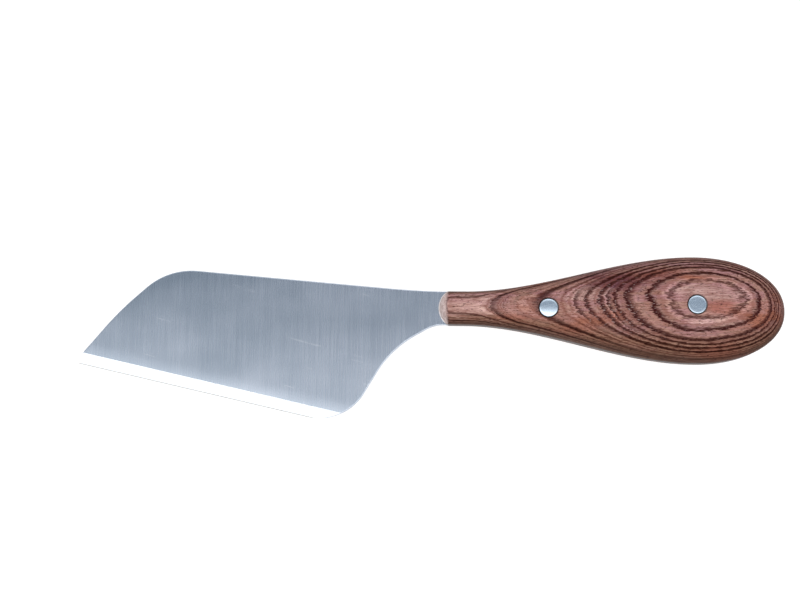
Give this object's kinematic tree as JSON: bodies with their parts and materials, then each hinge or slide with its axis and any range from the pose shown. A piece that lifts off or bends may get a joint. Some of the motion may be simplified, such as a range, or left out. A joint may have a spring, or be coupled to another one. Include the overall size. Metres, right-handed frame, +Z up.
{
  "type": "cheese knife",
  "caption": "Offset cheese knife with a broad steel blade and a teardrop wooden handle held by two rivets.",
  "frame": {"origin": "centre of the bounding box's bottom face, with the knife lying flat on its right side", "axes": "+X from the blade's nose to the handle's butt, +Y towards the spine, +Z up, square to the blade"},
  "size_m": [0.2336, 0.0548, 0.02],
  "materials": {
    "blade_steel": "brushed across its width",
    "handle_wood": "oiled, low sheen, strong growth rings",
    "rivet_metal": "ground flush and polished"
  },
  "bodies": {
    "root": {"blade_with_tang": "blade_steel", "left_scale": "handle_wood", "right_scale": "handle_wood", "front_rivet_tube": "rivet_metal", "front_rivet_pin": "rivet_metal", "rear_rivet_tube": "rivet_metal", "rear_rivet_pin": "rivet_metal"}
  },
  "joints": []
}
